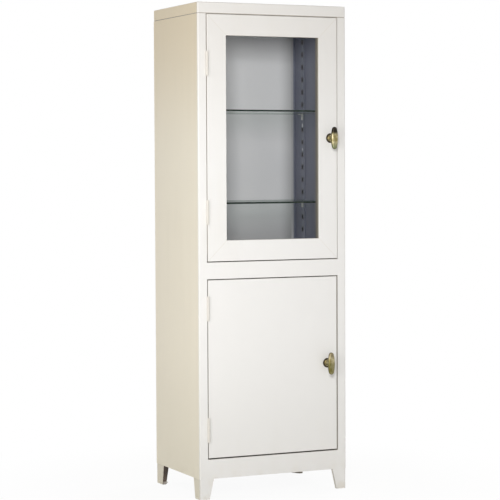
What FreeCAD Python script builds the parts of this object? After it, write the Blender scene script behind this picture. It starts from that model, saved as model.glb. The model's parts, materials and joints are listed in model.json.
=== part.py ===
import FreeCAD, Part
import math
import os

# Free-standing clinic cabinet of enamelled sheet steel, in millimetres.
# +X is the viewer's right, +Y runs to the back and +Z is up.
# The origin is on the floor, in the middle of the outline including the handles.

# Body
body_width = 556.0
body_depth = 396.0
body_height = 1680.0
sheet = 1.2
back_sheet = 1.0
edge_inner = 3.0
fold_inner = 0.6
stile_width = 30.5
rear_flange = 18.0
top_flange = 16.0
back_inset = 1.5

# Cap and head
cap_height = 36.4
cap_groove = 2.4
cap_inner = 2.4
head_flange = 16.0

# Front rails and door stops
leg_height = 70.0
apron_height = 66.0
lower_door_height = 604.6
mid_rail_height = 57.0
stop_lip = 9.0
stop_clear = 1.0

# Decks
deck_flange = 20.0
cupboard_shelf_rise = 298.0
cupboard_shelf_inset = 62.0
cupboard_shelf_flange = 18.0
cleat_leg = 20.0
cleat_end_gap = 6.0

# Legs
leg_front_top = 52.0
leg_front_foot = 36.0
leg_side_top = 57.0
leg_side_foot = 44.0
rear_leg_side_top = 66.0
rear_leg_side_foot = 54.0
leg_back_top = 48.0
leg_back_foot = 37.0
leg_return = 12.0
leg_joggle = 8.0

# Doors
hinge_gap = 3.5
upper_latch_gap = 1.9
lower_latch_gap = 4.4
door_gap = 3.0
sill_gap = 4.4
head_gap = 1.1
door_depth = 27.0
door_frame_width = 70.5
door_back_lip = 20.0
glass_thickness = 4.0
glass_lap = 12.0
glass_edge_gap = 0.5
bead_foot = 9.0
bead_grip = 8.0
bead_screw_pitch = 190.0
bead_screw_inset = 62.0
lower_panel_inset = 12.0

# Screws
screw_shank = 3.0
screw_head = 6.4
screw_head_height = 2.0
screw_length = 8.0

# Hinges
hinge_height = 80.0
upper_hinge_inset = 166.0
lower_hinge_inset = 96.0
knuckle_diameter = 9.0
knuckle_gap = 0.4
hinge_leaf = 1.2
hinge_leaf_depth = 20.0
hinge_pin = 4.6
hinge_pin_head = 7.6
hinge_pin_head_height = 2.0

# Latches
upper_latch_rise = 416.8
upper_latch_inset = 26.1
lower_latch_rise = 303.9
lower_latch_inset = 37.6
rosette_diameter = 33.0
rosette_thickness = 2.2
rosette_bead = 5.0
rosette_bead_height = 4.2
rosette_boss = 18.0
rosette_boss_height = 5.0
rosette_bush = 12.0
bush_nut_flats = 17.0
bush_nut_height = 3.0
handle_reach = 38.0
handle_collar = 15.0
handle_collar_height = 3.0
handle_neck = 9.6
handle_throat = 13.0
grip_height = 77.0
grip_width = 25.0
grip_swell = 4.0
grip_thickness = 13.0
grip_round = 5.5
spindle = 7.0
spindle_stud = 5.0
thread_end = 1.0
tongue_hold = 4.0
tongue_width = 9.0
tongue_thickness = 3.0
tongue_nut_flats = 8.0
tongue_nut_height = 4.0
strike_height = 40.0
strike_thickness = 1.5

# Glass shelves and their slotted standards
standard_width = 18.0
standard_depth = 5.0
front_standard_inset = 70.0
rear_standard_inset = 71.0
slot_pitch = 45.2
slot_width = 10.0
slot_height = 10.0
lower_shelf_rise = 174.9
shelf_spacing = 316.4
clip_rise = 11.0
clip_arm = 15.0
clip_width = 13.0
clip_thickness = 2.0
shelf_glass = 6.0
shelf_front_inset = 50.0
shelf_rear_gap = 5.0
shelf_side_gap = 1.5

# Clearances
fit_gap = 0.3
pin_clear = 0.05
spindle_clear = 0.08
hole_clear = 0.5
tongue_clear = 0.6

# Places that follow from the sizes
left_x = -body_width / 2
right_x = body_width / 2
back_y = (body_depth + handle_reach) / 2
front_y = back_y - body_depth
stop_y = front_y + door_depth + stop_clear
stop_back_y = stop_y + sheet
wall_x = left_x + sheet
rear_y = back_y - back_sheet - sheet

cap_bottom = body_height - cap_height
shell_top = cap_bottom - cap_groove
sill_z = leg_height + apron_height
lower_door_z0 = sill_z + sill_gap
lower_door_z1 = lower_door_z0 + lower_door_height
mid_z0 = lower_door_z1 + door_gap
mid_z1 = mid_z0 + mid_rail_height
upper_door_z0 = mid_z1 + door_gap
upper_door_z1 = shell_top - head_gap
deck_top = mid_z1 + stop_lip
floor_top = sill_z + stop_lip
cleat_top = floor_top + cupboard_shelf_rise
standard_top = shell_top - sheet - fit_gap

opening_x0 = left_x + stile_width
opening_x1 = right_x - stile_width
door_x0 = opening_x0 + hinge_gap
upper_door_x1 = opening_x1 - upper_latch_gap
lower_door_x1 = opening_x1 - lower_latch_gap
hinge_x = opening_x0 + hinge_gap / 2
hinge_y = front_y - knuckle_diameter / 2 - fit_gap
door_back_y = front_y + door_depth
tongue_y = stop_back_y + strike_thickness + tongue_clear


def vec(x, y, z=0.0):
    return FreeCAD.Vector(x, y, z)


def block(x0, x1, y0, y1, z0, z1):
    return Part.makeBox(x1 - x0, y1 - y0, z1 - z0, vec(x0, y0, z0))


def drum(radius, base, direction, length):
    return Part.makeCylinder(radius, length, base, direction)


def prism(points, sweep):
    return Part.Face(Part.makePolygon(points + points[:1])).extrude(sweep)


def mirrored(shape):
    return shape.mirror(vec(0, 0), vec(1, 0))


def joined(shapes):
    return shapes[0].fuse(shapes[1:]).removeSplitter()


# One edge of a folded strip, held at a fixed offset from its middle line
def strip_edge(corners, radii, offset):
    runs = [(b - a).normalize() for a, b in zip(corners, corners[1:])]
    sides = [vec(-run.y, run.x) for run in runs]
    edges = []
    here = corners[0] + sides[0] * offset
    for place, radius in enumerate(radii):
        corner = corners[place + 1]
        before, after = runs[place], runs[place + 1]
        side, next_side = sides[place], sides[place + 1]
        bisector = side + next_side
        if radius == 0:
            there = corner + bisector * (offset / (1 + side.dot(next_side)))
            edges.append(Part.LineSegment(here, there).toShape())
            here = there
            continue
        hand = 1 if before.cross(after).z > 0 else -1
        setback = radius * math.tan(before.getAngle(after) / 2)
        start = corner - before * setback
        finish = corner + after * setback
        bisector.normalize()
        centre = start + side * (radius * hand)
        middle = centre - bisector * (radius * hand)
        there = start + side * offset
        edges.append(Part.LineSegment(here, there).toShape())
        here = finish + next_side * offset
        edges.append(Part.Arc(there, middle + bisector * offset, here).toShape())
    end = corners[-1] + sides[-1] * offset
    edges.append(Part.LineSegment(here, end).toShape())
    return edges, corners[0] + sides[0] * offset, end


# Section of a sheet folded along the corners of its middle line
def strip(corners, radii, thickness=sheet):
    left, left_start, left_end = strip_edge(corners, radii, thickness / 2)
    right, right_start, right_end = strip_edge(corners, radii, -thickness / 2)
    ends = [
        Part.LineSegment(left_start, right_start).toShape(),
        Part.LineSegment(left_end, right_end).toShape(),
    ]
    return Part.Face(Part.Wire(Part.__sortEdges__(left + right + ends)))


# A section drawn in plan, drawn upwards
def upright(section, z0, z1):
    solid = section.extrude(vec(0, 0, z1 - z0))
    solid.translate(vec(0, 0, z0))
    return solid


# A section drawn with Y and Z as its two directions, drawn along X
def crosswise(section, x0, x1):
    solid = section.extrude(vec(0, 0, x1 - x0))
    solid.Placement = FreeCAD.Placement(FreeCAD.Matrix(0, 0, 1, x0, 1, 0, 0, 0, 0, 1, 0, 0))
    return solid


# Four mitred lengths of one section round a rectangle: left, top, right and bottom
def mitred_ring(section, x0, x1, z0, z1):
    reach = section.BoundBox.XMax + sheet
    span = section.BoundBox
    deep = vec(0, span.YLength + 2 * sheet)
    near = span.YMin - sheet
    lengths = [z1 - z0, x1 - x0, z1 - z0, x1 - x0]
    starts = [vec(x0, 0, z0), vec(x0, 0, z1), vec(x1, 0, z1), vec(x1, 0, z0)]
    ring = []
    for turn, (length, start) in enumerate(zip(lengths, starts)):
        bar = section.extrude(vec(0, 0, length))
        low = [vec(0, near, 0), vec(reach, near, reach), vec(reach, near, 0)]
        high = [vec(0, near, length), vec(reach, near, length - reach), vec(reach, near, length)]
        bar = bar.cut([prism(low, deep), prism(high, deep)])
        bar.rotate(vec(0, 0), vec(0, 1), 90 * turn)
        bar.translate(start)
        ring.append(bar)
    return ring


# A shallow tray of sheet with its rim turned down
def downturned_tray(x0, x1, y0, y1, top, rim):
    outer = block(x0, x1, y0, y1, top - rim, top)
    return outer.cut(block(x0 + sheet, x1 - sheet, y0 + sheet, y1 - sheet, top - rim, top - sheet))


# A box whose upright corners are rounded, with its top edges rounded too when asked
def rounded_box(x0, x1, y0, y1, z0, z1, corner, top=0):
    box = block(x0, x1, y0, y1, z0, z1)
    posts = [e for e in box.Edges if abs(e.BoundBox.ZLength - (z1 - z0)) < fit_gap / 2]
    box = box.makeFillet(corner, posts)
    if top:
        rim = [e for e in box.Edges if e.BoundBox.ZMin > z1 - fit_gap / 2]
        box = box.makeFillet(top, rim)
    return box


# Screw with a low domed head, standing on a point and pointing along a direction
def screw(point, direction):
    radius = screw_head / 2
    ball = (radius ** 2 + screw_head_height ** 2) / (2 * screw_head_height)
    head = Part.makeSphere(ball, point + direction * (ball - screw_head_height))
    head = head.common(drum(radius, point, direction * -1, screw_head_height))
    return joined([head, drum(screw_shank / 2, point, direction, screw_length)])


def screw_hole(point, direction):
    start = point - direction * screw_length
    return drum(screw_shank / 2 + pin_clear, start, direction, 3 * screw_length)


# Side, front stile, jamb and door stop folded from one sheet
def side_shell():
    side_x = left_x + sheet / 2
    face_y = front_y + sheet / 2
    jamb_x = opening_x0 - sheet / 2
    lip_y = stop_y + sheet / 2
    edge_fold = edge_inner + sheet / 2
    back = [vec(left_x + rear_flange, rear_y + sheet / 2), vec(side_x, rear_y + sheet / 2)]
    plain = back + [vec(side_x, face_y), vec(opening_x0, face_y)]
    jambed = plain[:3] + [vec(jamb_x, face_y), vec(jamb_x, lip_y), vec(opening_x0 + stop_lip, lip_y)]
    base = upright(strip(plain, [0, edge_fold]), leg_height, sill_z)
    post = upright(strip(jambed, [0, edge_fold, 0, 0]), sill_z, shell_top)
    ledge_front = stop_back_y + sheet
    ledge = block(wall_x, wall_x + top_flange, ledge_front, rear_y, shell_top - sheet, shell_top)
    return joined([base, post, ledge])


def back_panel():
    return block(
        left_x + back_inset, right_x - back_inset, back_y - back_sheet, back_y, leg_height, shell_top
    )


# Cap, open below, that drops over the rim of the top panel
def top_cap():
    corner = edge_inner + sheet
    top_round = cap_inner + sheet
    outer = rounded_box(left_x, right_x, front_y, back_y, cap_bottom, body_height, corner, top_round)
    inner = rounded_box(
        wall_x, right_x - sheet, front_y + sheet, back_y - sheet,
        cap_bottom, body_height - sheet, edge_inner, cap_inner,
    )
    return outer.cut(inner)


# Ceiling tray whose upturned rim carries the cap
def top_panel():
    rim_top = body_height - sheet - cap_inner - fit_gap
    inner_corner = edge_inner / 2
    outer = rounded_box(
        wall_x, right_x - sheet, front_y + sheet, back_y - sheet, shell_top, rim_top, edge_inner
    )
    hollow = rounded_box(
        wall_x + sheet, right_x - 2 * sheet, front_y + 2 * sheet, back_y - 2 * sheet,
        shell_top + sheet, rim_top, inner_corner,
    )
    return outer.cut(hollow)


def head_stop():
    lip_y = stop_y + sheet / 2
    path = [
        vec(lip_y, upper_door_z1 - stop_lip),
        vec(lip_y, shell_top - sheet / 2),
        vec(stop_y + head_flange, shell_top - sheet / 2),
    ]
    return crosswise(strip(path, [0]), opening_x0 + stop_lip, opening_x1 - stop_lip)


# Room left in a rail for the stops folded into the two side shells
def stop_notches(z0, z1):
    near = opening_x0 + stop_lip
    far = opening_x1 - stop_lip
    deep = stop_back_y + sheet
    return [
        block(opening_x0 - sheet, near, stop_y, deep, z0, z1),
        block(far, opening_x1 + sheet, stop_y, deep, z0, z1),
    ]


# Rail between the doors, with a stop behind each of them
def mid_rail():
    lip_y = stop_y + sheet / 2
    face_y = front_y + sheet / 2
    path = [
        vec(lip_y, mid_z1 + stop_lip),
        vec(lip_y, mid_z1 - sheet / 2),
        vec(face_y, mid_z1 - sheet / 2),
        vec(face_y, mid_z0 + sheet / 2),
        vec(lip_y, mid_z0 + sheet / 2),
        vec(lip_y, mid_z0 - stop_lip),
    ]
    fold = fold_inner + sheet / 2
    rail = crosswise(strip(path, [0, fold, fold, 0]), opening_x0, opening_x1)
    return rail.cut(stop_notches(mid_z0 - 2 * stop_lip, mid_z1 + 2 * stop_lip))


# Apron below the lower door
def front_apron():
    lip_y = stop_y + sheet / 2
    face_y = front_y + sheet / 2
    path = [
        vec(lip_y, sill_z + stop_lip),
        vec(lip_y, sill_z - sheet / 2),
        vec(face_y, sill_z - sheet / 2),
        vec(face_y, leg_height),
    ]
    apron = crosswise(strip(path, [0, fold_inner + sheet / 2]), opening_x0, opening_x1)
    return apron.cut(stop_notches(sill_z, sill_z + 2 * stop_lip))


# Cupboard floor, with two ears that run on at the front and close the hollow stiles
def deck(top):
    tray = downturned_tray(wall_x, right_x - sheet, stop_back_y, rear_y, top, deck_flange)
    ear_front = front_y + sheet + fit_gap
    ear_end = opening_x0 - sheet - fit_gap
    outline = [
        vec(wall_x, stop_back_y, top - sheet),
        vec(wall_x, ear_front + edge_inner, top - sheet),
        vec(wall_x + edge_inner, ear_front, top - sheet),
        vec(ear_end, ear_front, top - sheet),
        vec(ear_end, stop_back_y, top - sheet),
    ]
    ear = prism(outline, vec(0, 0, sheet))
    return joined([tray, ear, mirrored(ear)])


# Wedge cut from a leg plate so that it narrows to the foot
def taper(top_point, foot_point, outward, sweep):
    overrun = outward * leg_height
    return prism([top_point, foot_point, foot_point + overrun, top_point + overrun], sweep)


# Front leg: a folded angle, flush with the front and tucked behind the side
def front_leg():
    side_x = wall_x + sheet / 2
    face_y = front_y + sheet / 2
    lap_top = floor_top - deck_flange - fit_gap
    inner_x = left_x + leg_front_top
    foot_x = left_x + leg_front_foot
    inner_y = front_y + leg_side_top
    foot_y = front_y + leg_side_foot
    path = [vec(side_x, inner_y), vec(side_x, face_y), vec(inner_x, face_y)]
    angle = upright(strip(path, [edge_inner + sheet / 2]), 0, leg_height)
    deep = vec(0, body_depth)
    wide = vec(body_width, 0)
    start_y = front_y - sheet
    front_taper = taper(vec(inner_x, start_y, leg_height), vec(foot_x, start_y), vec(1, 0), deep)
    side_taper = taper(vec(left_x, inner_y, leg_height), vec(left_x, foot_y), vec(0, 1), wide)
    angle = angle.cut([front_taper, side_taper])
    edge = [
        vec(inner_x, front_y, leg_height),
        vec(foot_x, front_y, 0),
        vec(foot_x - sheet, front_y, 0),
        vec(inner_x - sheet, front_y, leg_height),
    ]
    hem = prism(edge, vec(0, leg_return))
    fold_x = wall_x + edge_inner + sheet
    fold_y = front_y + edge_inner + sheet
    lap_y = front_y + sheet
    front_lap = block(fold_x, inner_x, lap_y, lap_y + sheet, leg_height - leg_joggle, lap_top)
    side_lap = block(wall_x, wall_x + sheet, fold_y, inner_y, leg_height, lap_top)
    sole = [
        vec(wall_x + sheet, fold_y),
        vec(fold_x, lap_y),
        vec(foot_x - sheet, lap_y),
        vec(foot_x - sheet, front_y + leg_return),
        vec(wall_x + sheet + leg_return, foot_y),
        vec(wall_x + sheet, foot_y),
    ]
    return joined([angle, hem, front_lap, side_lap, prism(sole, vec(0, 0, sheet))])


# Rear leg: a folded angle tucked behind the side and the back
def rear_leg():
    side_x = wall_x + sheet / 2
    plate_y = rear_y - sheet / 2
    lap_top = floor_top - deck_flange - fit_gap
    inner_x = left_x + leg_back_top
    foot_x = left_x + leg_back_foot
    inner_y = back_y - rear_leg_side_top
    foot_y = back_y - rear_leg_side_foot
    path = [vec(side_x, inner_y), vec(side_x, plate_y), vec(inner_x, plate_y)]
    angle = upright(strip(path, [fold_inner + sheet / 2]), 0, lap_top)
    deep = vec(0, body_depth)
    wide = vec(body_width, 0)
    start_y = back_y - body_depth / 2
    back_taper = taper(vec(inner_x, start_y, leg_height), vec(foot_x, start_y), vec(1, 0), deep)
    side_taper = taper(vec(left_x, inner_y, leg_height), vec(left_x, foot_y), vec(0, -1), wide)
    angle = angle.cut([back_taper, side_taper])
    clear = fold_inner + sheet
    sole = [
        vec(wall_x + sheet, rear_y - clear - sheet),
        vec(wall_x + clear + sheet, rear_y - sheet),
        vec(foot_x, rear_y - sheet),
        vec(foot_x, rear_y - sheet - leg_return),
        vec(wall_x + sheet + leg_return, foot_y),
        vec(wall_x + sheet, foot_y),
    ]
    return joined([angle, prism(sole, vec(0, 0, sheet))])


# Section of the glazed door's frame, from its outer edge inwards
def frame_section():
    back = door_back_y - sheet / 2
    face = front_y + sheet / 2
    fold = fold_inner + sheet / 2
    inner = door_frame_width - sheet / 2
    path = [
        vec(door_back_lip, back),
        vec(sheet / 2, back),
        vec(sheet / 2, face),
        vec(inner, face),
        vec(inner, back),
        vec(door_frame_width - glass_lap - glass_edge_gap - sheet - bead_foot, back),
    ]
    return strip(path, [0, fold, fold, 0])


# Section of the bead that holds the glass from inside
def bead_section():
    glass_edge = door_frame_width - glass_lap
    riser = glass_edge - glass_edge_gap - sheet / 2
    foot = door_back_y + sheet / 2
    grip = door_back_y + glass_thickness + sheet / 2
    path = [
        vec(riser - sheet / 2 - bead_foot, foot),
        vec(riser, foot),
        vec(riser, grip),
        vec(glass_edge + bead_grip, grip),
    ]
    return strip(path, [0, 0])


# Evenly spaced screw stations along a length, clear of its ends
def stations(start, end):
    first = start + bead_screw_inset
    last = end - bead_screw_inset
    count = max(2, round((last - first) / bead_screw_pitch) + 1)
    return [first + (last - first) * n / (count - 1) for n in range(count)]


# Screw places in the glazing beads: left, top, right and bottom
def bead_screw_points():
    inset = door_frame_width - glass_lap - glass_edge_gap - sheet - bead_foot / 2
    seat = door_back_y + sheet
    heights = stations(upper_door_z0, upper_door_z1)
    places = stations(door_x0, upper_door_x1)
    return [
        [vec(door_x0 + inset, seat, z) for z in heights],
        [vec(x, seat, upper_door_z1 - inset) for x in places],
        [vec(upper_door_x1 - inset, seat, z) for z in heights],
        [vec(x, seat, upper_door_z0 + inset) for x in places],
    ]


def door_glass():
    edge = door_frame_width - glass_lap
    return block(
        door_x0 + edge, upper_door_x1 - edge, door_back_y, door_back_y + glass_thickness,
        upper_door_z0 + edge, upper_door_z1 - edge,
    )


# Lower door: a deep pan whose rim is turned in behind
def lower_door_pan():
    x0, x1 = door_x0, lower_door_x1
    z0, z1 = lower_door_z0, lower_door_z1
    outer = block(x0, x1, front_y, door_back_y, z0, z1)
    rim = [e for e in outer.Edges if e.BoundBox.YMax < front_y + fit_gap]
    outer = outer.makeFillet(fold_inner + sheet, rim)
    hollow = block(
        x0 + sheet, x1 - sheet, front_y + sheet, door_back_y - sheet, z0 + sheet, z1 - sheet
    )
    lip = door_back_lip
    mouth = block(x0 + lip, x1 - lip, front_y + sheet, door_back_y, z0 + lip, z1 - lip)
    return outer.cut([hollow, mouth])


def lower_door_lining():
    inset = lower_panel_inset
    return block(
        door_x0 + inset, lower_door_x1 - inset, door_back_y, door_back_y + sheet,
        lower_door_z0 + inset, lower_door_z1 - inset,
    )


# Butt hinge: a leaf on the jamb, a leaf on the door and the pin through both
def hinge(middle):
    z0 = middle - hinge_height / 2
    knuckles = 5
    pitch = (hinge_height + knuckle_gap) / knuckles
    radius = knuckle_diameter / 2
    back = front_y + hinge_leaf_depth
    leaf_front = hinge_y + radius + knuckle_gap
    bore = drum(hinge_pin / 2 + pin_clear, vec(hinge_x, hinge_y, z0), vec(0, 0, 1), hinge_height)
    leaves = []
    for first, leaf_x in ((0, opening_x0), (1, door_x0 - hinge_leaf)):
        pieces = [block(leaf_x, leaf_x + hinge_leaf, leaf_front, back, z0, z0 + hinge_height)]
        for knuckle in range(first, knuckles, 2):
            low = z0 + knuckle * pitch
            high = low + pitch - knuckle_gap
            pieces.append(block(leaf_x, leaf_x + hinge_leaf, hinge_y, leaf_front, low, high))
            pieces.append(drum(radius, vec(hinge_x, hinge_y, low), vec(0, 0, 1), high - low))
        leaves.append(joined(pieces).cut(bore))
    head = hinge_pin_head_height
    shank = drum(hinge_pin / 2, vec(hinge_x, hinge_y, z0 - head), vec(0, 0, 1), hinge_height + 2 * head)
    crown = drum(hinge_pin_head / 2, vec(hinge_x, hinge_y, z0 + hinge_height), vec(0, 0, 1), head)
    foot = drum(hinge_pin_head / 2, vec(hinge_x, hinge_y, z0 - head), vec(0, 0, 1), head)
    return leaves[0], leaves[1], joined([shank, crown, foot])


# Round rosette with a beaded rim, a boss under the handle and a threaded bush through the door
def rosette(x, z):
    radius = rosette_diameter / 2
    inner = radius - rosette_bead
    boss = rosette_boss / 2
    bush = rosette_bush / 2
    bore = spindle / 2 + spindle_clear
    field = -rosette_thickness
    bush_end = sheet + bush_nut_height + thread_end
    points = [
        vec(radius, field / 2), vec(radius, 0), vec(bush, 0), vec(bush, bush_end), vec(bore, bush_end),
        vec(bore, -rosette_boss_height), vec(boss, -rosette_boss_height), vec(boss, field),
        vec(inner, field),
    ]
    crest = vec(radius - rosette_bead / 2, -rosette_bead_height)
    edges = [Part.LineSegment(a, b).toShape() for a, b in zip(points, points[1:])]
    edges.append(Part.Arc(points[-1], crest, points[0]).toShape())
    turned = Part.Face(Part.Wire(edges)).revolve(vec(0, 0), vec(0, 1), 360)
    turned.translate(vec(x, front_y, z))
    return turned


# Holes that a latch needs through its door: a wide one in the front sheet, a narrow one behind it
def latch_holes(x, z):
    start = vec(x, front_y - sheet, z)
    wide = drum(rosette_bush / 2 + hole_clear, start, vec(0, 1), 3 * sheet)
    narrow = drum(spindle / 2 + hole_clear, start, vec(0, 1), 2 * door_depth)
    return [wide, narrow]


# Oval grip, rounded all round: two long side arcs that run smoothly into two end arcs
def handle_grip(x, z):
    half = grip_width / 2
    end = half - grip_swell
    top = grip_height / 2
    middle = top - end
    side = (middle ** 2 + half ** 2 - end ** 2) / (2 * grip_swell)
    lean = end / (side - end)
    join_x = lean * (side - half)
    join_z = middle * (1 + lean)
    front = front_y - handle_reach

    def at(across, up):
        return vec(x + across, front, z + up)

    edges = [
        Part.Arc(at(-join_x, -join_z), at(-half, 0), at(-join_x, join_z)).toShape(),
        Part.Arc(at(-join_x, join_z), at(0, top), at(join_x, join_z)).toShape(),
        Part.Arc(at(join_x, join_z), at(half, 0), at(join_x, -join_z)).toShape(),
        Part.Arc(at(join_x, -join_z), at(0, -top), at(-join_x, -join_z)).toShape(),
    ]
    grip = Part.Face(Part.Wire(edges)).extrude(vec(0, grip_thickness))
    rims = [e for e in grip.Edges if e.BoundBox.YLength < fit_gap]
    return grip.makeFillet(grip_round, rims)


# Turn handle: the grip on a waisted neck, with its collar, spindle and stud as one casting
def turn_handle(x, z):
    base = -rosette_boss_height - fit_gap
    collar = base - handle_collar_height
    grip_back = grip_thickness - handle_reach
    root = grip_back - grip_round
    shoulder = tongue_y - front_y
    end = shoulder + tongue_thickness + tongue_nut_height + thread_end
    throat = handle_throat / 2
    points = [
        vec(handle_collar / 2, collar), vec(handle_collar / 2, base), vec(spindle / 2, base),
        vec(spindle / 2, shoulder), vec(spindle_stud / 2, shoulder), vec(spindle_stud / 2, end),
        vec(0, end), vec(0, root), vec(throat, root), vec(throat, grip_back),
    ]
    waist = vec(handle_neck / 2, (collar + grip_back) / 2)
    edges = [Part.LineSegment(a, b).toShape() for a, b in zip(points, points[1:])]
    edges.append(Part.Arc(points[-1], waist, points[0]).toShape())
    turned = Part.Face(Part.Wire(edges)).revolve(vec(0, 0), vec(0, 1), 360)
    turned.translate(vec(x, front_y, z))
    return joined([turned, handle_grip(x, z)])


# Latch tongue, hanging down when the door is free to open
def latch_tongue(x, z):
    half = tongue_width / 2
    back = tongue_y + tongue_thickness
    length = opening_x1 + tongue_hold - x
    arm = block(x - half, x + half, tongue_y, back, z - length, z)
    eye = drum(half, vec(x, tongue_y, z), vec(0, 1), tongue_thickness)
    bore = drum(spindle_stud / 2 + pin_clear, vec(x, tongue_y, z), vec(0, 1), tongue_thickness)
    return joined([arm, eye]).cut(bore)


# Hexagon nut round a latch's axis, from a depth backwards
def latch_nut(x, z, start, flats, height, bolt):
    radius = flats / math.sqrt(3)
    turns = [math.radians(60 * n) for n in range(6)]
    corners = [vec(x + radius * math.cos(t), start, z + radius * math.sin(t)) for t in turns]
    bore = drum(bolt / 2 + pin_clear, vec(x, start, z), vec(0, 1), height)
    return prism(corners, vec(0, height)).cut(bore)


def strike(z):
    half = strike_height / 2
    return block(
        opening_x1 - stop_lip, opening_x1, stop_back_y, stop_back_y + strike_thickness, z - half, z + half
    )


# Heights of the slots in the shelf standards, in step with the lower shelf's own slot
def slot_levels():
    low = deck_top + slot_height
    high = standard_top - slot_height
    first = deck_top + lower_shelf_rise % slot_pitch
    count = math.ceil((high - first) / slot_pitch)
    levels = [first + n * slot_pitch for n in range(count)]
    return [z for z in levels if low < z < high]


# Slotted standard on the left wall, centred on a depth
def shelf_standard(y):
    reach = wall_x + standard_depth - sheet / 2
    half = standard_width / 2 - sheet / 2
    path = [vec(wall_x, y - half), vec(reach, y - half), vec(reach, y + half), vec(wall_x, y + half)]
    post = upright(strip(path, [0, 0]), deck_top, standard_top)
    wide = slot_width / 2
    tall = slot_height / 2
    face = wall_x + standard_depth
    slots = [
        block(face - 2 * sheet, face + sheet, y - wide, y + wide, z - tall, z + tall)
        for z in slot_levels()
    ]
    return post.cut(slots)


# Shelf clip hooked in a slot of the left wall's standard
def shelf_clip(y, level):
    face = wall_x + standard_depth
    half = clip_width / 2
    hook_half = slot_width / 2 - fit_gap
    hook_tall = slot_height / 2 - fit_gap
    top = level + clip_rise
    hook = block(
        face - 2 * sheet, face, y - hook_half, y + hook_half, level - hook_tall, level + hook_tall
    )
    plate = block(face, face + clip_thickness, y - half, y + half, level - slot_height, top)
    arm = block(face, face + clip_arm, y - half, y + half, top - clip_thickness, top)
    return joined([hook, plate, arm])


def glass_shelf(level):
    side = wall_x + standard_depth + shelf_side_gap
    bottom = level + clip_rise
    return block(
        side, -side, front_y + shelf_front_inset, rear_y - shelf_rear_gap, bottom, bottom + shelf_glass
    )


def cupboard_shelf():
    front = front_y + cupboard_shelf_inset + sheet / 2
    back = rear_y - shelf_rear_gap - sheet / 2
    level = cleat_top + sheet / 2
    low = cleat_top + sheet - cupboard_shelf_flange
    path = [vec(front, low), vec(front, level), vec(back, level), vec(back, low)]
    fold = fold_inner + sheet / 2
    return crosswise(strip(path, [fold, fold]), wall_x + shelf_side_gap, -wall_x - shelf_side_gap)


# Angle on the left wall that carries the cupboard shelf
def cupboard_cleat():
    y0 = front_y + cupboard_shelf_inset + cleat_end_gap
    y1 = rear_y - shelf_rear_gap - cleat_end_gap
    wall_leg = block(wall_x, wall_x + sheet, y0, y1, cleat_top - cleat_leg, cleat_top)
    top_leg = block(wall_x, wall_x + cleat_leg, y0, y1, cleat_top - sheet, cleat_top)
    return joined([wall_leg, top_leg])


# A piece on the left and its mirror image on the right
def pair(parts, pattern, shape):
    parts[pattern.format("left")] = shape
    parts[pattern.format("right")] = mirrored(shape)


def carcass(parts):
    pair(parts, "{}_side_shell", side_shell())
    pair(parts, "front_{}_leg", front_leg())
    pair(parts, "rear_{}_leg", rear_leg())
    parts["back_panel"] = back_panel()
    parts["top_panel"] = top_panel()
    parts["top_cap"] = top_cap()
    parts["head_stop"] = head_stop()
    parts["mid_rail"] = mid_rail()
    parts["front_apron"] = front_apron()
    parts["mid_deck"] = deck(deck_top)
    parts["floor_pan"] = deck(floor_top)
    pair(parts, "{}_cupboard_cleat", cupboard_cleat())
    parts["cupboard_shelf"] = cupboard_shelf()


def shelving(parts):
    rows = {"front": front_y + front_standard_inset, "rear": back_y - rear_standard_inset}
    lower_level = deck_top + lower_shelf_rise
    upper_level = lower_level + round(shelf_spacing / slot_pitch) * slot_pitch
    shelves = {"upper": upper_level, "lower": lower_level}
    for row, y in rows.items():
        pair(parts, row + "_{}_shelf_standard", shelf_standard(y))
    clips = [shelf_clip(y, level) for level in shelves.values() for y in rows.values()]
    parts["shelf_clips"] = Part.makeCompound(clips + [mirrored(clip) for clip in clips])
    for name, level in shelves.items():
        parts[name + "_glass_shelf"] = glass_shelf(level)


def glazed_door(parts, latch_x, latch_z):
    sides = ("left_stile", "top_rail", "right_stile", "bottom_rail")
    bounds = (door_x0, upper_door_x1, upper_door_z0, upper_door_z1)
    places = bead_screw_points()
    frame = mitred_ring(frame_section(), *bounds)
    beads = mitred_ring(bead_section(), *bounds)
    inward = vec(0, -1)
    for name, member, bead, points in zip(sides, frame, beads, places):
        holes = [screw_hole(point, inward) for point in points]
        if name == "right_stile":
            member = member.cut(latch_holes(latch_x, latch_z))
        parts["upper_door_" + name] = member.cut([hole.common(rear_half()) for hole in holes])
        parts["glazing_bead_" + name.split("_")[0]] = bead.cut(holes)
    parts["glazing_screws"] = Part.makeCompound([screw(p, inward) for points in places for p in points])
    parts["door_glass"] = door_glass()


# Everything behind the middle of the doors, where the glazing screws end
def rear_half():
    return block(left_x, right_x, front_y + door_depth / 2, back_y, 0, body_height)


def lower_door(parts, latch_x, latch_z):
    holes = latch_holes(latch_x, latch_z)
    parts["lower_door_pan"] = lower_door_pan().cut(holes)
    parts["lower_door_lining"] = lower_door_lining().cut(holes)


def hinges(parts):
    middles = {
        "upper_door_top": upper_door_z1 - upper_hinge_inset,
        "upper_door_bottom": upper_door_z0 + upper_hinge_inset,
        "lower_door_top": lower_door_z1 - lower_hinge_inset,
        "lower_door_bottom": lower_door_z0 + lower_hinge_inset,
    }
    for name, middle in middles.items():
        jamb_leaf, door_leaf, pin = hinge(middle)
        parts[name + "_hinge_jamb_leaf"] = jamb_leaf
        parts[name + "_hinge_door_leaf"] = door_leaf
        parts[name + "_hinge_pin"] = pin


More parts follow.
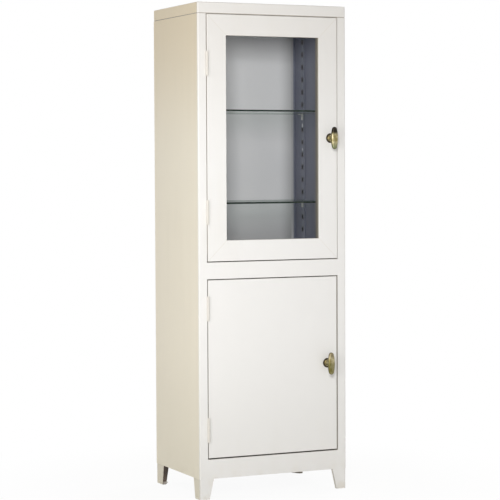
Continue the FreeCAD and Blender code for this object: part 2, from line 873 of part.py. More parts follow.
def latch(parts, name, x, z):
    inside = front_y + sheet
    behind = tongue_y + tongue_thickness
    parts[name + "_rosette"] = rosette(x, z)
    parts[name + "_rosette_nut"] = latch_nut(x, z, inside, bush_nut_flats, bush_nut_height, rosette_bush)
    parts[name + "_handle"] = turn_handle(x, z)
    parts[name + "_latch_tongue"] = latch_tongue(x, z)
    parts[name + "_latch_nut"] = latch_nut(
        x, z, behind, tongue_nut_flats, tongue_nut_height, spindle_stud
    )
    parts[name + "_strike"] = strike(z)


def build():
    upper_latch = (upper_door_x1 - upper_latch_inset, upper_door_z0 + upper_latch_rise)
    lower_latch = (lower_door_x1 - lower_latch_inset, lower_door_z0 + lower_latch_rise)
    parts = {}
    carcass(parts)
    shelving(parts)
    glazed_door(parts, *upper_latch)
    lower_door(parts, *lower_latch)
    hinges(parts)
    latch(parts, "upper", *upper_latch)
    latch(parts, "lower", *lower_latch)
    return parts


os.makedirs("parts", exist_ok=True)
for node, shape in build().items():
    shape.exportStep(f"parts/{node}.step")
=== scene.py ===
import json
import math

import bpy
from mathutils import Matrix, Vector


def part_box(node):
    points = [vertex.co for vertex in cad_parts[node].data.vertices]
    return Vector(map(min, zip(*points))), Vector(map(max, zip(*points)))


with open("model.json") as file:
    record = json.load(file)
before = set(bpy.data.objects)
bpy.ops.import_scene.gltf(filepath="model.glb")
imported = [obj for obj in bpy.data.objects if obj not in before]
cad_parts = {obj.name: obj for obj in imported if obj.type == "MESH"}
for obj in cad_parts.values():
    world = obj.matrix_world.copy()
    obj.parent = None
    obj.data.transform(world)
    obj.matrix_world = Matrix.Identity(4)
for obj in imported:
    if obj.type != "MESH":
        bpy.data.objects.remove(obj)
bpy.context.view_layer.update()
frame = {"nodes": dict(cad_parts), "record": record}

scene = bpy.context.scene
nodes = frame["nodes"]
slotOf = {part["node"]: part["material_slot"] for part in frame["record"]["subparts"]}
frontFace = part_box("mid_rail")[0].y      # the plane of the stiles, the rails and the doors
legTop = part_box("front_apron")[0].z
sheet = 0.0012                           # thickness of the folded sheet, in metres
plainWhite = (1.0, 1.0, 1.0, 1.0)
print("frame loaded:", len(nodes), "nodes")


# A socket in a node tree: arithmetic on it adds Math nodes, and node() adds any other kind.
class Sock:
    def __init__(self, tree, out=None):
        self.tree = tree
        self.out = out

    # settings go in first, then the values or links of the inputs
    def node(self, kind, settings=None, inputs=None, out=0):
        made = self.tree.nodes.new("ShaderNode" + kind)
        for name, value in (settings or {}).items():
            setattr(made, name, value)
        for key, value in (inputs or {}).items():
            if isinstance(value, Sock):
                self.tree.links.new(value.out, made.inputs[key])
            else:
                made.inputs[key].default_value = value
        return Sock(self.tree, made.outputs[out] if made.outputs else None)

    def math(self, operation, first, second=0.0):
        return self.node("Math", {"operation": operation}, {0: first, 1: second})

    def __add__(self, other):
        return self.math("ADD", self, other)

    def __radd__(self, other):
        return self.math("ADD", other, self)

    def __sub__(self, other):
        return self.math("SUBTRACT", self, other)

    def __rsub__(self, other):
        return self.math("SUBTRACT", other, self)

    def __mul__(self, other):
        return self.math("MULTIPLY", self, other)

    def __rmul__(self, other):
        return self.math("MULTIPLY", other, self)

    def __abs__(self):
        return self.math("ABSOLUTE", self)

    def larger(self, other):
        return self.math("MAXIMUM", self, other)

    def smaller(self, other):
        return self.math("MINIMUM", self, other)

    # distance from a centre, when other is the offset at right angles
    def distance(self, other):
        return self.math("SQRT", self * self + other * other)

    # offset from the middle of the repeat that it falls in
    def repeated(self, pitch):
        return self.math("FLOORED_MODULO", self, pitch) - pitch / 2

    # 0 at low, 1 at high, with a soft start and end
    def ramp(self, low, high):
        ends = {"Value": self, "From Min": low, "From Max": high}
        return self.node("MapRange", {"interpolation_type": "SMOOTHSTEP"}, ends)

    # low where self is 0, high where it is 1
    def between(self, low, high):
        return low + self * (high - low)

    # self is the share of the second colour
    def blend(self, first, second):
        return self.node("Mix", {"data_type": "RGBA"}, {0: self, 6: first, 7: second}, out=2)

    def scaled(self, amount):
        return self.node("VectorMath", {"operation": "SCALE"}, {0: self, "Scale": amount})

    def split(self):
        made = self.node("SeparateXYZ", None, {0: self}).out.node
        return [Sock(self.tree, socket) for socket in made.outputs]

    def noise(self, scale, detail):
        return self.node("TexNoise", None, {"Vector": self, "Scale": scale, "Detail": detail})

    # the same pattern drawn out along an axis
    def stretched(self, amounts):
        return self.node("Mapping", None, {"Vector": self, "Scale": amounts})

    # self is the height, and the result goes to Normal
    def bump(self, strength, distance=1.0):
        return self.node("Bump", None, {"Strength": strength, "Distance": distance, "Height": self})


def opaque(colour):
    return (*colour, 1.0)


def startMaterial(name):
    material = bpy.data.materials.new(name)
    material.use_nodes = True
    material.node_tree.nodes.clear()
    root = Sock(material.node_tree)
    return material, root, root.node("TexCoord", out="Object")


def endMaterial(root, shader):
    root.node("OutputMaterial", None, {"Surface": shader})


# 1 for the rays that show the white studio as it is: straight from the eye, mirrored or through glass
def seenRays(root):
    made = root.node("LightPath").out.node
    names = ("Is Camera Ray", "Is Glossy Ray", "Is Transmission Ray")
    eye, mirror, through = (Sock(root.tree, made.outputs[name]) for name in names)
    return eye.larger(mirror).larger(through)


# 0 at the first of two depths behind the front, 1 at the second
def behindFront(y, depths):
    near, deep = depths
    return y.ramp(frontFace + near, frontFace + deep)


# Door gaps: painted shade on the edges that meet there, where the gaps' shadow falls
doorGap = {
    "grimeAndShade": (0.20, 0.18, 0.145),
    "depth": (0.0016, 0.005),        # metres behind the front where it starts and is full
    "half": (0.262, 0.268),          # metres from the middle: the gaps end inside this, the sides lie outside
    "shares": (0.90, 0.36),          # round the lower door and round the upper
    "heights": (0.815, 0.85),        # where the lower door's share gives way to the upper's
    "brightened": (0.225, 0.24),         # the painted shade is lighter on the latch side, from here to the right
    "brightenedShare": 0.45,
}


# painted shade in the door gaps, stronger round the lower door
def gapShade(base, x, y, z):
    inGap = behindFront(y, doorGap["depth"]) * (1.0 - abs(x).ramp(*doorGap["half"]))
    share = z.ramp(*doorGap["heights"]).between(*doorGap["shares"])
    share = share * (1.0 - x.ramp(*doorGap["brightened"]) * doorGap["brightenedShare"])
    return (inGap * share).blend(base, opaque(doorGap["grimeAndShade"]))


# Cupboard walls: slate inside, with a paler rear flange that takes painted shade into the corner, and painted
# shade behind the shelf standards' slots
innerWall = {
    "slate": (0.10, 0.109, 0.162),
    "faceSoft": 0.0003,              # metres over which the slate starts, within the sheet
    "stopSoft": 0.001,               # and behind the door stops
    # the flange's tone, darkened as painted shade that carries on the back panel's
    "shadedFlange": (0.44, 0.435, 0.445),
    "flangeSkin": 0.0006,            # metres in front of the flange that take its tone
    "cornerShade": (0.264, 0.2735),  # metres from the middle where painted shade darkens the flange into the corner
    # painted shade behind the standards, seen through their slots
    "slotShade": (0.02, 0.02, 0.025),
    "standardHalf": (0.0078, 0.0084),    # half the width that a standard hides: ends of the soft edge
}


# face: metres from the middle to inside the wall; behind: back of the door stops; rear: face of the flange;
# standards: middles of the two rows
def slateInside(base, x, y, face, behind, rear, standards):
    soft = innerWall["faceSoft"]
    inside = (face - abs(x)).ramp(-soft, soft) * y.ramp(behind, behind + innerWall["stopSoft"])
    shadedFlange = y.ramp(rear - innerWall["flangeSkin"], rear)
    shadedFlange = shadedFlange * (1.0 - abs(x).ramp(*innerWall["cornerShade"]))
    wall = shadedFlange.blend(opaque(innerWall["slate"]), opaque(innerWall["shadedFlange"]))
    for middle in standards:
        hidden = 1.0 - abs(y - middle).ramp(*innerWall["standardHalf"])
        wall = hidden.blend(wall, opaque(innerWall["slotShade"]))
    return inside.blend(base, wall)


# Glazed door's frame: stained mitre lines, sunk a little, and painted shade on the reveal round the window
doorFrame = {
    "mitreWidth": 0.0009,
    "mitreShare": 0.6,
    "mitreDepth": 0.4,               # share of the width
    "revealShade": (0.10, 0.09, 0.075),
    "revealDepth": (0.0008, 0.015),
    "revealEdge": (-0.0008, -0.0004),    # metres inside the opening: below 0 is in the sheet
    "revealShare": 0.9,
}


# 1 on the four lines where the stiles and the rails of a frame with these outer corners meet
def mitreLine(x, z, low, high):
    mid = (low + high) / 2
    half = (high - low) / 2
    off = abs(abs(x - mid.x) - abs(z - mid.z) - (half.x - half.z))
    return 1.0 - off.ramp(0.0, doorFrame["mitreWidth"])


# painted shade on the reveal, full from a little behind the front; low and high are the corners of the
# opening
def shadedReveal(base, x, y, z, low, high):
    within = (x - low.x).smaller(high.x - x).smaller(z - low.z).smaller(high.z - z)
    shaded = within.ramp(*doorFrame["revealEdge"]) * behindFront(y, doorFrame["revealDepth"])
    return (shaded * doorFrame["revealShare"]).blend(base, opaque(doorFrame["revealShade"]))


# Legs: painted shade in a rusty brown on their insides, and a little painted shade on the side plates
leg = {
    # painted shade inside the legs, in the brown of rust
    "inside": (0.15, 0.108, 0.08),
    "turn": (0.4, 0.8),              # how far a face is turned inwards, or sideways
    "sideShade": 0.12,
    "paler": (0.0, 0.1),             # the right-hand legs get less of the painted shade inside
    "palerShare": 0.8,
}


# rearward is 1 where a leg's inside faces the back, -1 where it faces the front
def shadedLeg(base, x, turned, rearward):
    inward = (turned[1] * rearward).larger(0.0 - turned[0] * x.math("SIGN", x))
    shaded = inward.ramp(*leg["turn"]) * (1.0 - x.ramp(*leg["paler"]) * leg["palerShare"])
    base = base.scaled(1.0 - abs(turned[0]).ramp(*leg["turn"]) * leg["sideShade"])
    return shaded.blend(base, opaque(leg["inside"]))


# Enamel: warm white on the front and a cream behind it that stands in for warm light on the sides, both
# painted lighter at middle height than at the feet and the top; with a soft orange-peel skin
enamel = {
    "front": (                       # at the feet, in the middle and at the top
        (0.79, 0.775, 0.745), (0.85, 0.835, 0.81), (0.76, 0.736, 0.70),
    ),
    "side": (
        (0.83, 0.765, 0.605), (0.92, 0.845, 0.68), (0.78, 0.665, 0.468),
    ),
    "footHeights": (0.10, 0.60),     # heights where the feet's tone ends and the middle's is full
    "topHeights": (1.12, 1.66),
    "creamDepth": (0.0012, 0.010),   # metres behind the front where the cream starts and is full
    "cloudNoise": (2.3, 3.0),        # scale and detail, here and in the other noises
    "speckNoise": (21.0, 4.0),
    "streakNoise": (2.0, 3.0),
    "streakStretch": (9.0, 9.0, 0.7),
    "dust": (0.80, 0.765, 0.69),     # on the upward faces
    "dustTurn": (0.6, 0.95),
    "dustShare": 0.9,
    "fold": (0.62, 0.57, 0.48),      # painted shade on the upright folds, and in specks all over the hinges
    "foldTurn": (0.2, 0.5),
    "foldShare": 0.22,
    "hingeSpecks": (0.1, 0.4),
    "hingeShare": 0.5,
    "stain": (0.60, 0.52, 0.38),
    "splashRise": 2.2,               # leg heights that the grime from the floor reaches
    "splashSpecks": (0.42, 0.7),
    "splashShare": 0.30,
    "wornMix": (0.6, 0.4),           # of the clouds and of the streaks
    "wornLevels": (0.5, 0.72),
    "wornShare": 0.10,
    "mottle": 0.035,
    "mottleSpecks": 0.5,
    "mottleMean": 0.75,              # of the clouds with that share of the specks
    "roughness": (0.26, 0.42),
    "roughnessMix": (0.6, 0.4),      # of the specks and of the streaks
    "waveNoise": (5.0, 1.0),
    "waveHeight": 0.0012,
    "peelNoise": (240.0, 1.0),
    "peelHeight": 0.00010,
    "bump": 0.5,
    "ior": 1.5,
}


# the tone at a height, from the three at the feet, in the middle and at the top: painted light that is
# strongest at middle height
def byHeight(z, colours):
    foot, middle, top = (opaque(colour) for colour in colours)
    lower = z.ramp(*enamel["footHeights"]).blend(foot, middle)
    return z.ramp(*enamel["topHeights"]).blend(lower, top)


# gaps: its edges meet at the door gaps and take painted shade there; wall: what slateInside needs; mitre and
# window: outer corners and opening of the door's frame; rearward: a leg, and which way its inside faces;
# hinge: painted shade in specks all over
def enamelMaterial(name, gaps=False, wall=None, mitre=None, window=None, rearward=0.0, hinge=False):
    material, root, place = startMaterial(name)
    x, y, z = place.split()
    turned = root.node("NewGeometry", out="Normal").split()
    clouds = place.noise(*enamel["cloudNoise"])
    specks = place.noise(*enamel["speckNoise"])
    streaks = place.stretched(enamel["streakStretch"]).noise(*enamel["streakNoise"])

    cream = behindFront(y, enamel["creamDepth"])
    base = cream.blend(byHeight(z, enamel["front"]), byHeight(z, enamel["side"]))
    dusty = turned[2].ramp(*enamel["dustTurn"]) * enamel["dustShare"]
    base = dusty.blend(base, opaque(enamel["dust"]))
    if hinge:
        dull = specks.ramp(*enamel["hingeSpecks"]) * enamel["hingeShare"]
        base = dull.blend(base, opaque(enamel["fold"]))
    folded = abs(turned[0]).smaller(abs(turned[1])).ramp(*enamel["foldTurn"]) * enamel["foldShare"]
    base = folded.blend(base, opaque(enamel["fold"]))
    if gaps:
        base = gapShade(base, x, y, z)
    if wall:
        base = slateInside(base, x, y, *wall)

    splash = 1.0 - z.ramp(0.0, legTop * enamel["splashRise"])
    splash = splash * specks.ramp(*enamel["splashSpecks"]) * enamel["splashShare"]
    cloudPart, streakPart = enamel["wornMix"]
    worn = clouds * cloudPart + streaks * streakPart
    worn = worn.ramp(*enamel["wornLevels"]) * enamel["wornShare"]
    base = splash.larger(worn).blend(base, opaque(enamel["stain"]))
    mottle = clouds + specks * enamel["mottleSpecks"] - enamel["mottleMean"]
    base = base.scaled(1.0 + mottle * enamel["mottle"])
    height = place.noise(*enamel["waveNoise"]) * enamel["waveHeight"]
    height = height + place.noise(*enamel["peelNoise"]) * enamel["peelHeight"]
    if mitre:
        line = mitreLine(x, z, *mitre)
        base = (line * doorFrame["mitreShare"]).blend(base, opaque(enamel["stain"]))
        height = height - line * doorFrame["mitreWidth"] * doorFrame["mitreDepth"]
    if window:
        base = shadedReveal(base, x, y, z, *window)
    if rearward:
        base = shadedLeg(base, x, turned, rearward)

    speckPart, streakPart = enamel["roughnessMix"]
    matte = specks * speckPart + streaks * streakPart
    endMaterial(root, root.node("BsdfPrincipled", None, {
        "Base Color": base, "Roughness": matte.between(*enamel["roughness"]),
        "Normal": height.bump(enamel["bump"]), "IOR": enamel["ior"],
    }))
    return material


# Shelf standards: painted shade inside them and round the slots, and painted glints above some of the slots
standard = {
    "slotPitch": 0.0452,
    "clipRise": 0.011,               # the shelf lies this far above its clips' slots
    # painted shade in the channel's hollow
    "hollow": (0.012, 0.012, 0.016),
    "hollowSkin": (0.0003, 0.0006),  # metres behind the face where the hollow starts and is full
    "hollowHalf": (0.0080, 0.0086),  # half widths from the middle of the channel, here and below
    "slotShadeRise": (0.012, 0.0055),    # metres above and below a slot: fades out, is full
    "slotShadeHalf": (0.006, 0.0095),
    "slotShadeShare": 0.85,
    # painted glint
    "brightened": (0.66, 0.67, 0.70),
    "glintHalf": (0.0042, 0.0018),
    "glintNoise": (23.0, 1.0),
    "glintLevels": (0.42, 0.56),
    "glintRise": (0.007, 0.011, 0.020, 0.030),    # above a slot: starts, is full, fades, ends
    "glintHeights": (1.13, 1.19, 1.29, 1.33),     # above the floor: the same
}


# face: metres from the middle to the channels; middles: of the two rows; slot: height of one of the slots
def slottedChannel(base, place, x, y, z, face, middles, slot):
    pitch = standard["slotPitch"]
    starts, full = standard["hollowSkin"]
    off = abs(y - middles[0]).smaller(abs(y - middles[1]))
    within = abs(x).ramp(face + starts, face + full) * (1.0 - off.ramp(*standard["hollowHalf"]))
    above = (z - (slot - pitch / 2)).repeated(pitch)
    grimeAndShade = abs(above).ramp(*standard["slotShadeRise"]) * (1.0 - off.ramp(*standard["slotShadeHalf"]))
    grimeAndShade = grimeAndShade * standard["slotShadeShare"]
    base = within.larger(grimeAndShade).blend(base, opaque(standard["hollow"]))
    patches = place.noise(*standard["glintNoise"]).ramp(*standard["glintLevels"])
    brightened = off.ramp(*standard["glintHalf"]) * patches
    for reach, key in ((above, "glintRise"), (z, "glintHeights")):
        begins, full, fades, ends = standard[key]
        brightened = brightened * reach.ramp(begins, full) * reach.ramp(ends, fades)
    return brightened.blend(base, opaque(standard["brightened"]))


# Ceiling tray: grime on the outside of its upturned rim
ceiling = {
    "grimeAndShade": (0.36, 0.32, 0.27),
    "skin": (0.0011, 0.0005),        # metres in from the outside where it ends and is full
}


def grimyRim(base, x, y, halfWidth, front):
    ends, full = ceiling["skin"]
    sides = abs(x).ramp(halfWidth - ends, halfWidth - full)
    fore = 1.0 - y.ramp(front + full, front + ends)
    return sides.larger(fore).blend(base, opaque(ceiling["grimeAndShade"]))


# Back panel: painted shade towards its corners and towards the deck inside, cream outside, with weld dimples
# down its edges
backPanel = {
    "cornerShade": (0.205, 0.287),   # metres from the middle where it darkens into the corners
    "cornerShare": 0.55,
    "footShade": (0.99, 0.84),       # heights where it darkens towards the deck
    "footShare": 0.42,
    "deckSoft": 0.001,               # metres below the deck where that shade starts
    "outside": (0.0006, 0.0003),     # metres in from the rear face where the cream starts and is full
    "weldPitch": 0.075,
    "weldInset": 0.0085,
    "weldSize": (0.0014, 0.0032),    # radii of the flat and of the rim of a weld dimple
    "weldDepth": 0.0005,
}


def backFinish(base, height, x, y, z, halfWidth, behind, deck):
    starts, full = backPanel["outside"]
    outside = y.ramp(behind - starts, behind - full)
    corners = abs(x).ramp(*backPanel["cornerShade"]) * backPanel["cornerShare"]
    foot = z.ramp(*backPanel["footShade"]) * z.ramp(deck - backPanel["deckSoft"], deck)
    shaded = (1.0 - corners) * (1.0 - foot * backPanel["footShare"])
    base = outside.blend(base.scaled(shaded), byHeight(z, enamel["side"]))
    along = z.repeated(backPanel["weldPitch"])
    across = abs(x) - (halfWidth - backPanel["weldInset"])
    dimple = 1.0 - along.distance(across).ramp(*backPanel["weldSize"])
    return base, height - dimple * outside * backPanel["weldDepth"]


# Inner enamel: the cool grey of the cupboards' linings, dustier on the upward faces
lining = {
    "back": (0.915, 0.90, 0.915),
    "standard": (0.125, 0.135, 0.175),
    "door": (0.72, 0.71, 0.69),
    "cloudNoise": (3.1, 3.0),
    "speckNoise": (34.0, 4.0),
    "shade": (0.45, 0.46, 0.50),
    "shadeClouds": (0.35, 0.75),
    "shadeShare": 0.15,
    "dust": (0.56, 0.54, 0.50),
    "dustTurn": (0.6, 0.95),
    "dustSpecks": (0.35, 0.7),
    "dustShare": 0.22,
    "roughness": (0.38, 0.55),
    "peelNoise": (220.0, 1.0),
    "peelHeight": 0.00012,
    "bump": 0.5,
}


# channel, rim and outer: what slottedChannel, grimyRim and backFinish need
def liningMaterial(name, colour, channel=None, rim=None, outer=None):
    material, root, place = startMaterial(name)
    x, y, z = place.split()
    up = root.node("NewGeometry", out="Normal").split()[2]
    clouds = place.noise(*lining["cloudNoise"])
    specks = place.noise(*lining["speckNoise"])
    shaded = clouds.ramp(*lining["shadeClouds"]) * lining["shadeShare"]
    base = shaded.blend(opaque(colour), opaque(lining["shade"]))
    dusty = up.ramp(*lining["dustTurn"]) * specks.ramp(*lining["dustSpecks"]) * lining["dustShare"]
    base = dusty.blend(base, opaque(lining["dust"]))
    height = place.noise(*lining["peelNoise"]) * lining["peelHeight"]
    if channel:
        base = slottedChannel(base, place, x, y, z, *channel)
    if rim:
        base = grimyRim(base, x, y, *rim)
    if outer:
        base, height = backFinish(base, height, x, y, z, *outer)
    endMaterial(root, root.node("BsdfPrincipled", None, {
        "Base Color": base, "Roughness": specks.between(*lining["roughness"]),
        "Normal": height.bump(lining["bump"]),
    }))
    return material


# Sheet glass: clear, with a faint film of dust; a shelf's front edge is a dark green, its other edges less so
glass = {
    "tint": (0.985, 0.99, 0.987),
    "shelfTint": (0.94, 0.965, 0.95),
    "ior": 1.5,
    "shine": 0.12,                   # share of the full reflection
    "shineRoughness": 0.03,
    "dust": (0.62, 0.63, 0.64),
    "dustRoughness": 0.8,
    "dustShare": 0.012,
    "smearStretch": (1.0, 1.0, 0.4),
    "smearNoise": (7.0, 5.0),
    "smearLevels": (0.35, 0.8),
    "edge": (0.016, 0.026, 0.019),
    "edgeDepth": (0.0003, 0.0006),   # metres in from the edge where the green fades and ends
    "edgeRoughness": (0.08, 0.20),
    "edgeSpecular": 0.1,
    "rippleNoise": (60.0, 2.0),
    "otherEdges": 0.2,               # share of the dark green on the side and rear edges
}


def glassMaterial(name, tint, shelf=None):
    material, root, place = startMaterial(name)
    clear = root.node("BsdfTransparent", None, {"Color": opaque(tint)})
    mirror = root.node("BsdfPrincipled", None, {
        "Base Color": plainWhite, "Metallic": 1.0, "Roughness": glass["shineRoughness"],
    })
    shine = root.node("Fresnel", None, {"IOR": glass["ior"]}) * glass["shine"]
    shader = root.node("MixShader", None, {0: shine, 1: clear, 2: mirror})
    film = root.node("BsdfPrincipled", None, {
        "Base Color": opaque(glass["dust"]), "Roughness": glass["dustRoughness"],
    })
    smears = place.stretched(glass["smearStretch"]).noise(*glass["smearNoise"])
    share = smears.ramp(*glass["smearLevels"]) * glass["dustShare"]
    shader = root.node("MixShader", None, {0: share, 1: shader, 2: film})
    if shelf:
        low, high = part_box(shelf)
        x, y = place.split()[:2]
        inset = (x - low.x).smaller(high.x - x).smaller(high.y - y)
        otherEdges = (1.0 - inset.ramp(*glass["edgeDepth"])) * glass["otherEdges"]
        cutEdge = otherEdges.larger(1.0 - (y - low.y).ramp(*glass["edgeDepth"]))
        ripple = place.noise(*glass["rippleNoise"])
        green = root.node("BsdfPrincipled", None, {
            "Base Color": opaque(glass["edge"]), "Roughness": ripple.between(*glass["edgeRoughness"]),
            "Specular IOR Level": glass["edgeSpecular"],
        })
        shader = root.node("MixShader", None, {0: cutEdge, 1: shader, 2: green})
    endMaterial(root, shader)
    return material


# Aged brass: olive gold with brighter clouds and pits of tarnish; a rosette has a painted highlight round its
# axis and a painted dark reflection on its bead
brass = {
    "olive": (0.24, 0.20, 0.075),
    "bright": (0.52, 0.46, 0.29),
    "brightLevels": (0.40, 0.66),
    # pits of tarnish, and the rosette bead's painted dark reflection
    "tarnishAndReflection": (0.05, 0.038, 0.02),
    "pitLevels": (0.55, 0.75),
    "pitShare": 0.4,
    "black": (0.014, 0.012, 0.010),  # the handles' patches
    "green": (0.17, 0.19, 0.10),
    "umber": (0.20, 0.165, 0.10),
    "moss": (0.12, 0.11, 0.025),
    "patchWander": 0.006,            # metres that a patch's border strays
    "cloudMean": 0.5,
    "cloudNoise": (70.0, 4.0),
    "speckNoise": (420.0, 4.0),
    "ring": (0.0100, 0.0125),        # metres from the axis where the painted highlight gives way to the painted dark reflection on the bead
    "metallic": (0.9, 0.6),          # clean, and where it is most corroded
    "corrodedLevels": (0.6, 0.8),
    "roughness": (0.30, 0.55),
    "roughnessMix": (0.6, 0.4),      # of the clouds and of the specks
    "bump": (0.4, 0.00006),
}

# each handle's dark and coloured patches: height above its axis where a patch starts and where it is full,
# colour, share
handlePatches = {
    "upper": ((0.009, 0.022, "black", 0.97), (-0.012, -0.030, "green", 0.85)),
    "lower": ((0.014, 0.030, "umber", 0.8), (0.012, -0.006, "moss", 0.7)),
}


def brassMaterial(name, axis, ring=False, patches=()):
    material, root, place = startMaterial(name)
    x, _, z = place.split()
    clouds = place.noise(*brass["cloudNoise"])
    specks = place.noise(*brass["speckNoise"])
    across, up = x - axis.x, z - axis.z
    if ring:
        darkened = across.distance(up).ramp(*brass["ring"])
        base = darkened.blend(opaque(brass["bright"]), opaque(brass["tarnishAndReflection"]))
    else:
        base = clouds.ramp(*brass["brightLevels"]).blend(opaque(brass["olive"]), opaque(brass["bright"]))
    for starts, full, colour, share in patches:
        height = up + (clouds - brass["cloudMean"]) * brass["patchWander"]
        base = (height.ramp(starts, full) * share).blend(base, opaque(brass[colour]))
    pits = specks.ramp(*brass["pitLevels"]) * brass["pitShare"]
    base = pits.blend(base, opaque(brass["tarnishAndReflection"]))
    corroded = specks.ramp(*brass["corrodedLevels"])
    cloudPart, speckPart = brass["roughnessMix"]
    matte = clouds * cloudPart + specks * speckPart
    endMaterial(root, root.node("BsdfPrincipled", None, {
        "Base Color": base, "Metallic": corroded.between(*brass["metallic"]),
        "Roughness": matte.between(*brass["roughness"]), "Normal": specks.bump(*brass["bump"]),
    }))
    return material


# Bright zinc on the small steel fittings, with fine scratches
zinc = {
    "bright": (0.58, 0.58, 0.56),
    "dull": (0.36, 0.36, 0.35),
    "dullLevels": (0.3, 0.7),
    "cloudNoise": (70.0, 3.0),
    "scratchStretch": (1.0, 1.0, 9.0),
    "scratchNoise": (160.0, 4.0),
    "metallic": (0.9, 1.0),
    "roughness": (0.25, 0.5),
    "bump": (0.3, 0.00008),
}


def zincMaterial(name):
    material, root, place = startMaterial(name)
    scratches = place.stretched(zinc["scratchStretch"]).noise(*zinc["scratchNoise"])
    clouds = place.noise(*zinc["cloudNoise"])
    base = clouds.ramp(*zinc["dullLevels"]).blend(opaque(zinc["bright"]), opaque(zinc["dull"]))
    endMaterial(root, root.node("BsdfPrincipled", None, {
        "Base Color": base, "Metallic": clouds.between(*zinc["metallic"]),
        "Roughness": scratches.between(*zinc["roughness"]), "Normal": scratches.bump(*zinc["bump"]),
    }))
    return material


# the middles of the front and rear shelf standards, in depth
def standardMiddles():
    middles = []
    for row in ("front", "rear"):
        low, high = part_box(row + "_left_shelf_standard")
        middles.append((low.y + high.y) / 2)
    return middles


# the two side shells, which are white outside and slate inside
def shellFinish(standards):
    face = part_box("right_side_shell")[1].x - sheet / 2
    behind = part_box("head_stop")[0].y + sheet
    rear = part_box("back_panel")[0].y - sheet
    return enamelMaterial("shell_enamel", gaps=True, wall=(face, behind, rear, standards))


# the mitred frame of the glazed door
def doorFrameFinish():
    leftLow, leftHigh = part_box("upper_door_left_stile")
    rightLow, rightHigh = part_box("upper_door_right_stile")
    sill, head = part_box("upper_door_bottom_rail")[1].z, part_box("upper_door_top_rail")[0].z
    window = (Vector((leftHigh.x, 0, sill)), Vector((rightLow.x, 0, head)))
    return enamelMaterial("door_frame_enamel", gaps=True, mitre=(leftLow, rightHigh), window=window)


# the finishes that belong to certain nodes
def ownFinishes():
    edged = enamelMaterial("front_enamel", gaps=True)
    finish = {node: edged for node in ("mid_rail", "front_apron", "lower_door_pan")}

    standards = standardMiddles()
    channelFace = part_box("rear_right_shelf_standard")[0].x
    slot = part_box("lower_glass_shelf")[0].z - standard["clipRise"]
    channel = (channelFace, standards, slot)
    slate = liningMaterial("shelf_standard_enamel", lining["standard"], channel=channel)
    shell = shellFinish(standards)
    for side in ("left", "right"):
        finish[side + "_side_shell"] = shell
        for row in ("front", "rear"):
            finish[row + "_" + side + "_shelf_standard"] = slate

    frameWhite = doorFrameFinish()
    for member in ("left_stile", "right_stile", "top_rail", "bottom_rail"):
        finish["upper_door_" + member] = frameWhite
    finish["door_glass"] = glassMaterial("door_glass", glass["tint"])
    finish["lower_door_lining"] = liningMaterial("door_lining_enamel", lining["door"])

    tray, back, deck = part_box("top_panel"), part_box("back_panel")[1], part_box("mid_deck")[1].z
    rim = (tray[1].x, tray[0].y)
    finish["top_panel"] = liningMaterial("ceiling_enamel", lining["back"], rim=rim)
    finish["back_panel"] = liningMaterial("back_enamel", lining["back"], outer=(back.x, back.y, deck))
    for shelf in ("upper_glass_shelf", "lower_glass_shelf"):
        finish[shelf] = glassMaterial(shelf, glass["shelfTint"], shelf)

    for row, rearward in (("front", 1.0), ("rear", -1.0)):
        legWhite = enamelMaterial(row + "_leg_enamel", rearward=rearward)
        for side in ("left", "right"):
            finish[row + "_" + side + "_leg"] = legWhite
    for door, patches in handlePatches.items():
        low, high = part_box(door + "_rosette")
        axis = (low + high) / 2
        finish[door + "_rosette"] = brassMaterial(door + "_rosette_brass", axis, ring=True)
        finish[door + "_handle"] = brassMaterial(door + "_handle_brass", axis, patches=patches)
    return finish


# every other node has its slot's finish, apart from the hinges
def paintAll():
    own = ownFinishes()
    hingeWhite = enamelMaterial("hinge_enamel", hinge=True)
    bySlot = {
        "white_enamel": enamelMaterial("white_enamel"),
        "inner_enamel": liningMaterial("lining_enamel", lining["back"]),
        "bare_steel": zincMaterial("bright_zinc"),
    }
    for node, slot in slotOf.items():
        if node in own:
            material = own[node]
        elif "_hinge_" in node:
            material = hingeWhite
        else:
            material = bySlot[slot]
        nodes[node].data.materials.clear()
        nodes[node].data.materials.append(material)


# Camera at the photograph's place, in metres and degrees
view = {
    "place": (-2.6887, -5.8689, 1.1343),
    "yaw": 24.563,
    "pitch": -2.658,
    "roll": -0.245,
    "lens": 132.44,                  # this and the sensor in millimetres
    "sensor": 36.0,
}


def makeCamera():
    yaw, pitch, roll = (math.radians(view[key]) for key in ("yaw", "pitch", "roll"))
    forward = Vector((math.sin(yaw) * math.cos(pitch), math.cos(yaw) * math.cos(pitch), math.sin(pitch)))
    level = Vector((math.cos(yaw), -math.sin(yaw), 0.0))
    upward = level.cross(forward)
    across = level * math.cos(roll) + upward * math.sin(roll)
    rise = upward * math.cos(roll) - level * math.sin(roll)
    turn = Matrix((across, rise, -forward)).transposed().to_4x4()
    camera = bpy.data.objects.new("camera", bpy.data.cameras.new("camera"))
    camera.data.lens = view["lens"]
    camera.data.sensor_width = view["sensor"]
    camera.data.dof.use_dof = False
    camera.matrix_world = Matrix.Translation(view["place"]) @ turn
    scene.collection.objects.link(camera)
    scene.camera = camera


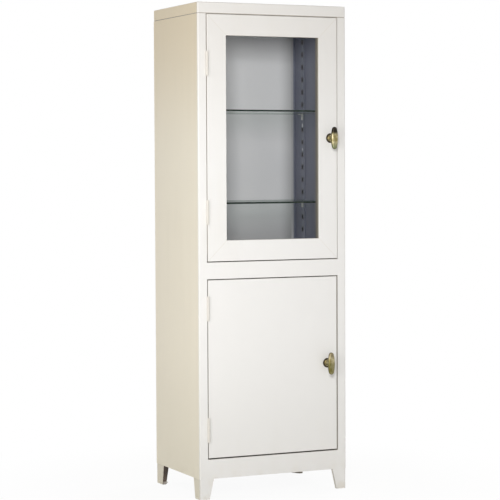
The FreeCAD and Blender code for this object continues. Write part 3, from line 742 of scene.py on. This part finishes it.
# Studio: a white room and a pale floor, a key light above the camera's side, a soft fill at the left, and a
# soft light behind the right for the far sides
studio = {
    "roomLevel": 0.305,
    "aim": (0.0, 0.0, 0.95),
    "lamps": {                       # place, size, share of full white that it adds at the aim
        "key_light": ((-1.40, -2.92, 1.75), 0.7, 0.50),
        "fill_light": ((-2.3, -1.9, 0.95), 1.2, 0.225),
        "rim_light": ((2.4, 1.8, 2.9), 1.6, 0.45),
    },
    "floorHalf": 8.0,
    "floorDrop": 0.0004,             # metres below the soles
    "floorColour": (0.82, 0.815, 0.80),
    "floorWhite": (0.94, 1.0),       # share of plain white near the feet and far away
    "floorFade": (0.4, 1.2),
}


def makeRoom():
    world = bpy.data.worlds.new("studio")
    world.use_nodes = True
    world.node_tree.nodes.clear()
    root = Sock(world.node_tree)
    level = seenRays(root).between(studio["roomLevel"], 1.0)
    room = root.node("Background", None, {"Color": plainWhite, "Strength": level})
    root.node("OutputWorld", None, {"Surface": room})
    scene.world = world


def makeLamps():
    for name, (spot, size, share) in studio["lamps"].items():
        aim = Vector(studio["aim"]) - Vector(spot)
        light = bpy.data.lights.new(name, "AREA")
        light.size = size
        light.energy = share * math.pi ** 2 * aim.length_squared    # watts for that share
        lamp = bpy.data.objects.new(name, light)
        lamp.location = spot
        lamp.rotation_euler = aim.to_track_quat("-Z", "Y").to_euler()
        lamp.visible_camera = False
        scene.collection.objects.link(lamp)


def makeFloor():
    half = studio["floorHalf"]
    corners = [(-half, -half, 0), (half, -half, 0), (half, half, 0), (-half, half, 0)]
    mesh = bpy.data.meshes.new("floor")
    mesh.from_pydata(corners, [], [(0, 1, 2, 3)])
    floor = bpy.data.objects.new("floor", mesh)
    floor.location.z = -studio["floorDrop"]
    scene.collection.objects.link(floor)
    material, root, place = startMaterial("pale_floor")
    x, y = place.split()[:2]
    share = x.distance(y).ramp(*studio["floorFade"]).between(*studio["floorWhite"])
    matte = root.node("BsdfDiffuse", None, {"Color": opaque(studio["floorColour"])})
    white = root.node("Emission", None, {"Color": plainWhite, "Strength": 1.0})
    endMaterial(root, root.node("MixShader", None, {0: seenRays(root) * share, 1: matte, 2: white}))
    mesh.materials.append(material)


makeCamera()
print("camera set")
makeRoom()
makeLamps()
makeFloor()
scene.view_settings.view_transform = "Standard"
print("studio lit")
paintAll()
print("finishes painted on", len(slotOf), "nodes")
